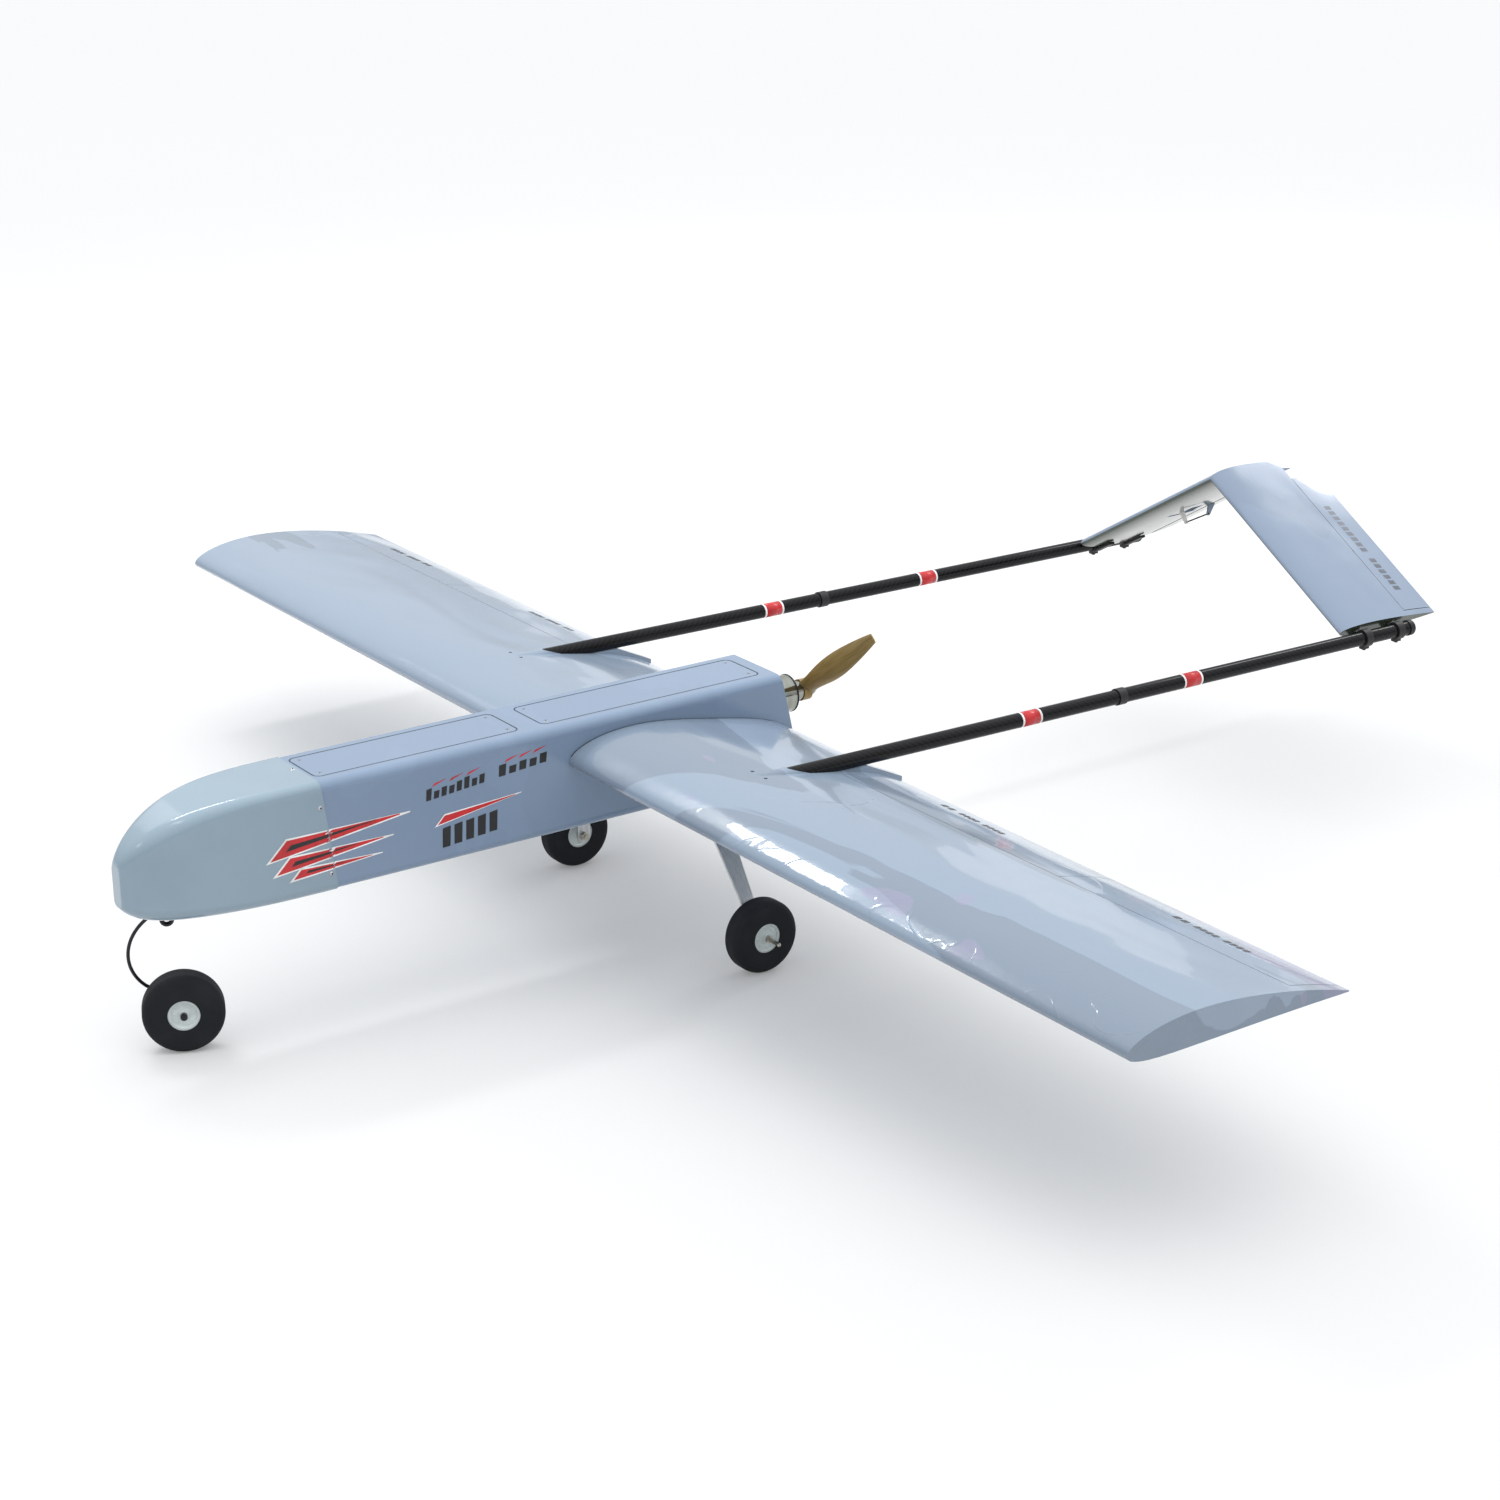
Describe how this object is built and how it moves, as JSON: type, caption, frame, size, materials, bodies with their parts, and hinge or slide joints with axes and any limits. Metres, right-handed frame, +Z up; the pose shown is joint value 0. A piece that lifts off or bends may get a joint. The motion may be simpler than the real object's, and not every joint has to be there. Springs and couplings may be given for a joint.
{
  "type": "fixed wing drone",
  "caption": "Twin-boom pusher drone with inverted V tail, flaps, steered nose wheel, electric motor and lift-off equipment hatch.",
  "frame": {"origin": "centre of the box at the ground, under the aeroplane", "axes": "+Z up from the ground, +X to port (the aircraft's left), -Y towards the nose"},
  "size_m": [2, 1.747, 0.4171],
  "materials": {
    "fuselage_film": "glossy blue-grey film over wood",
    "wing_film": "glossy blue-grey film over foam, slightly rippled",
    "nose_gloss": "painted gloss fibreglass",
    "screw_steel": "domed head screws",
    "plywood": "light plywood",
    "battery_wrap": "shrink wrap",
    "black_plastic": "matt",
    "servo_plastic": "satin case",
    "aluminium_tube": "drawn tube",
    "gear_aluminium": "satin",
    "black_steel": "black oxide",
    "axle_steel": "bright",
    "stator_metal": "dark",
    "carbon": "glossy twill carbon",
    "spring_wire": "blackened spring wire",
    "white_nylon": "moulded nylon",
    "foam_tyre": "dense foam",
    "hub_nylon": "moulded nylon",
    "motor_metal": "machined",
    "propeller_wood": "varnished",
    "rod_steel": "bright wire"
  },
  "bodies": {
    "airframe": {"fuselage_shell": "fuselage_film", "nose_cone": "nose_gloss", "cover_screws": "screw_steel", "fuselage_formers": "plywood", "firewall": "plywood", "equipment_tray": "plywood", "battery_pack": "battery_wrap", "speed_controller": "black_plastic", "autopilot_box": "black_plastic", "servos": "servo_plastic", "wing_joiner_tubes": "aluminium_tube", "gear_block": "plywood", "main_gear_legs": "gear_aluminium", "gear_leg_bolts": "black_steel", "main_axles": "axle_steel", "motor_stator": "stator_metal", "left_wing_panel": "wing_film", "right_wing_panel": "wing_film", "boom_tubes": "carbon", "boom_sleeves": "black_plastic", "boom_end_caps": "black_plastic", "boom_screws": "black_steel", "tail_clamps": "black_plastic", "left_tail_panel": "wing_film", "right_tail_panel": "wing_film", "nose_gear_block": "black_plastic", "rear_hatch": "fuselage_film"},
    "left_aileron_surface": {"left_aileron": "wing_film"},
    "left_aileron_arm": {"left_aileron_servo_arm": "white_nylon"},
    "left_aileron_rod": {"left_aileron_push_rod": "rod_steel"},
    "left_flap_surface": {"left_flap": "wing_film"},
    "left_flap_arm": {"left_flap_servo_arm": "white_nylon"},
    "left_flap_rod": {"left_flap_push_rod": "rod_steel"},
    "left_ruddervator_surface": {"left_ruddervator": "wing_film"},
    "left_tail_arm": {"left_tail_servo_arm": "white_nylon"},
    "left_tail_rod": {"left_tail_push_rod": "rod_steel"},
    "right_aileron_surface": {"right_aileron": "wing_film"},
    "right_aileron_arm": {"right_aileron_servo_arm": "white_nylon"},
    "right_aileron_rod": {"right_aileron_push_rod": "rod_steel"},
    "right_flap_surface": {"right_flap": "wing_film"},
    "right_flap_arm": {"right_flap_servo_arm": "white_nylon"},
    "right_flap_rod": {"right_flap_push_rod": "rod_steel"},
    "right_ruddervator_surface": {"right_ruddervator": "wing_film"},
    "right_tail_arm": {"right_tail_servo_arm": "white_nylon"},
    "right_tail_rod": {"right_tail_push_rod": "rod_steel"},
    "nose_leg": {"nose_gear_leg": "spring_wire", "nose_steering_arm": "white_nylon"},
    "nose_wheel": {"nose_tyre": "foam_tyre", "nose_hub": "hub_nylon"},
    "left_main_wheel": {"left_main_tyre": "foam_tyre", "left_main_hub": "hub_nylon"},
    "right_main_wheel": {"right_main_tyre": "foam_tyre", "right_main_hub": "hub_nylon"},
    "steering_arm": {"steering_servo_arm": "white_nylon"},
    "steering_rod": {"steering_push_rod": "rod_steel"},
    "rotor": {"motor_bell": "motor_metal", "propeller_adapter": "motor_metal", "propeller": "propeller_wood"},
    "hatch_lid": {"front_hatch": "fuselage_film", "front_hatch_screws": "screw_steel"}
  },
  "joints": [
    {"name": "left_aileron_hinge", "type": "hinge", "parent": "airframe", "child": "left_aileron_surface", "pos_m": [0.79, -0.08662, 0.24266], "axis": [0.999, 0.0381, -0.0212], "range_deg": [-25, 25]},
    {"name": "left_aileron_servo", "type": "hinge", "parent": "airframe", "child": "left_aileron_arm", "pos_m": [0.79239, -0.14856, 0.24382], "axis": [0.999, 0.0381, -0.0212], "range_deg": [-25, 25]},
    {"name": "left_aileron_rod_pivot", "type": "hinge", "parent": "left_aileron_arm", "child": "left_aileron_rod", "pos_m": [0.7916, -0.14621, 0.21063], "axis": [0.999, 0.0381, -0.0212], "range_deg": [-25, 25]},
    {"name": "left_flap_hinge", "type": "hinge", "parent": "airframe", "child": "left_flap_surface", "pos_m": [0.43, -0.10037, 0.25029], "axis": [0.999, 0.0381, -0.0212], "range_deg": [-35, 0]},
    {"name": "left_flap_servo", "type": "hinge", "parent": "airframe", "child": "left_flap_arm", "pos_m": [0.43239, -0.16231, 0.25144], "axis": [0.999, 0.0381, -0.0212], "range_deg": [-35, 0]},
    {"name": "left_flap_rod_pivot", "type": "hinge", "parent": "left_flap_arm", "child": "left_flap_rod", "pos_m": [0.43148, -0.16007, 0.21241], "axis": [0.999, 0.0381, -0.0212], "range_deg": [0, 35]},
    {"name": "left_ruddervator_hinge", "type": "hinge", "parent": "airframe", "child": "left_ruddervator_surface", "pos_m": [0.14129, 0.82087, 0.32906], "axis": [0.8643, -0.0094, -0.5029], "range_deg": [-25, 25]},
    {"name": "left_tail_servo", "type": "hinge", "parent": "airframe", "child": "left_tail_arm", "pos_m": [0.13828, 0.77778, 0.3247], "axis": [0.8643, -0.0094, -0.5029], "range_deg": [-25, 25]},
    {"name": "left_tail_rod_pivot", "type": "hinge", "parent": "left_tail_arm", "child": "left_tail_rod", "pos_m": [0.12694, 0.78042, 0.30515], "axis": [0.8643, -0.0094, -0.5029], "range_deg": [-25, 25]},
    {"name": "right_aileron_hinge", "type": "hinge", "parent": "airframe", "child": "right_aileron_surface", "pos_m": [-0.79, -0.08662, 0.24266], "axis": [0.999, -0.0381, 0.0212], "range_deg": [-25, 25]},
    {"name": "right_aileron_servo", "type": "hinge", "parent": "airframe", "child": "right_aileron_arm", "pos_m": [-0.79239, -0.14856, 0.24382], "axis": [0.999, -0.0381, 0.0212], "range_deg": [-25, 25]},
    {"name": "right_aileron_rod_pivot", "type": "hinge", "parent": "right_aileron_arm", "child": "right_aileron_rod", "pos_m": [-0.7916, -0.14621, 0.21063], "axis": [0.999, -0.0381, 0.0212], "range_deg": [-25, 25]},
    {"name": "right_flap_hinge", "type": "hinge", "parent": "airframe", "child": "right_flap_surface", "pos_m": [-0.43, -0.10037, 0.25029], "axis": [0.999, -0.0381, 0.0212], "range_deg": [-35, 0]},
    {"name": "right_flap_servo", "type": "hinge", "parent": "airframe", "child": "right_flap_arm", "pos_m": [-0.43239, -0.16231, 0.25144], "axis": [0.999, -0.0381, 0.0212], "range_deg": [-35, 0]},
    {"name": "right_flap_rod_pivot", "type": "hinge", "parent": "right_flap_arm", "child": "right_flap_rod", "pos_m": [-0.43148, -0.16007, 0.21241], "axis": [0.999, -0.0381, 0.0212], "range_deg": [0, 35]},
    {"name": "right_ruddervator_hinge", "type": "hinge", "parent": "airframe", "child": "right_ruddervator_surface", "pos_m": [-0.14129, 0.82087, 0.32906], "axis": [0.8643, 0.0094, 0.5029], "range_deg": [-25, 25]},
    {"name": "right_tail_servo", "type": "hinge", "parent": "airframe", "child": "right_tail_arm", "pos_m": [-0.13828, 0.77778, 0.3247], "axis": [0.8643, 0.0094, 0.5029], "range_deg": [-25, 25]},
    {"name": "right_tail_rod_pivot", "type": "hinge", "parent": "right_tail_arm", "child": "right_tail_rod", "pos_m": [-0.12694, 0.78042, 0.30515], "axis": [0.8643, 0.0094, 0.5029], "range_deg": [-25, 25]},
    {"name": "nose_steering", "type": "hinge", "parent": "airframe", "child": "nose_leg", "pos_m": [0, -0.8249, 0.2], "axis": [0, 0, 1], "range_deg": [-11, 59]},
    {"name": "steering_servo", "type": "hinge", "parent": "airframe", "child": "steering_arm", "pos_m": [0, -0.7329, 0.217], "axis": [0, 0, 1], "range_deg": [-11, 59]},
    {"name": "steering_rod_pivot", "type": "hinge", "parent": "steering_arm", "child": "steering_rod", "pos_m": [-0.0201, -0.72395, 0.217], "axis": [0, 0, 1], "range_deg": [-59, 11]},
    {"name": "nose_wheel_spin", "type": "hinge", "parent": "nose_leg", "child": "nose_wheel", "pos_m": [0.00596, -0.80905, 0.046], "axis": [0.9135, -0.4067, 0], "continuous": true},
    {"name": "left_wheel_spin", "type": "hinge", "parent": "airframe", "child": "left_main_wheel", "pos_m": [0.2061, -0.1678, 0.0445], "axis": [1, 0, 0], "continuous": true},
    {"name": "right_wheel_spin", "type": "hinge", "parent": "airframe", "child": "right_main_wheel", "pos_m": [-0.2061, -0.1678, 0.0445], "axis": [1, 0, 0], "continuous": true},
    {"name": "propeller_spin", "type": "hinge", "parent": "airframe", "child": "rotor", "pos_m": [0, 0.041, 0.248], "axis": [0, 1, 0], "continuous": true},
    {"name": "front_hatch_lift", "type": "slide", "parent": "airframe", "child": "hatch_lid", "axis": [0, 0, 1], "range_m": [0, 0.06]}
  ],
  "couplings": [
    {"joint": "left_aileron_servo", "follows": "left_aileron_hinge", "ratio": 1},
    {"joint": "left_aileron_rod_pivot", "follows": "left_aileron_hinge", "ratio": -1},
    {"joint": "left_flap_servo", "follows": "left_flap_hinge", "ratio": 1},
    {"joint": "left_flap_rod_pivot", "follows": "left_flap_hinge", "ratio": -1},
    {"joint": "left_tail_servo", "follows": "left_ruddervator_hinge", "ratio": 1},
    {"joint": "left_tail_rod_pivot", "follows": "left_ruddervator_hinge", "ratio": -1},
    {"joint": "right_aileron_servo", "follows": "right_aileron_hinge", "ratio": 1},
    {"joint": "right_aileron_rod_pivot", "follows": "right_aileron_hinge", "ratio": -1},
    {"joint": "right_flap_servo", "follows": "right_flap_hinge", "ratio": 1},
    {"joint": "right_flap_rod_pivot", "follows": "right_flap_hinge", "ratio": -1},
    {"joint": "right_tail_servo", "follows": "right_ruddervator_hinge", "ratio": 1},
    {"joint": "right_tail_rod_pivot", "follows": "right_ruddervator_hinge", "ratio": -1},
    {"joint": "steering_servo", "follows": "nose_steering", "ratio": 1},
    {"joint": "steering_rod_pivot", "follows": "nose_steering", "ratio": -1}
  ]
}
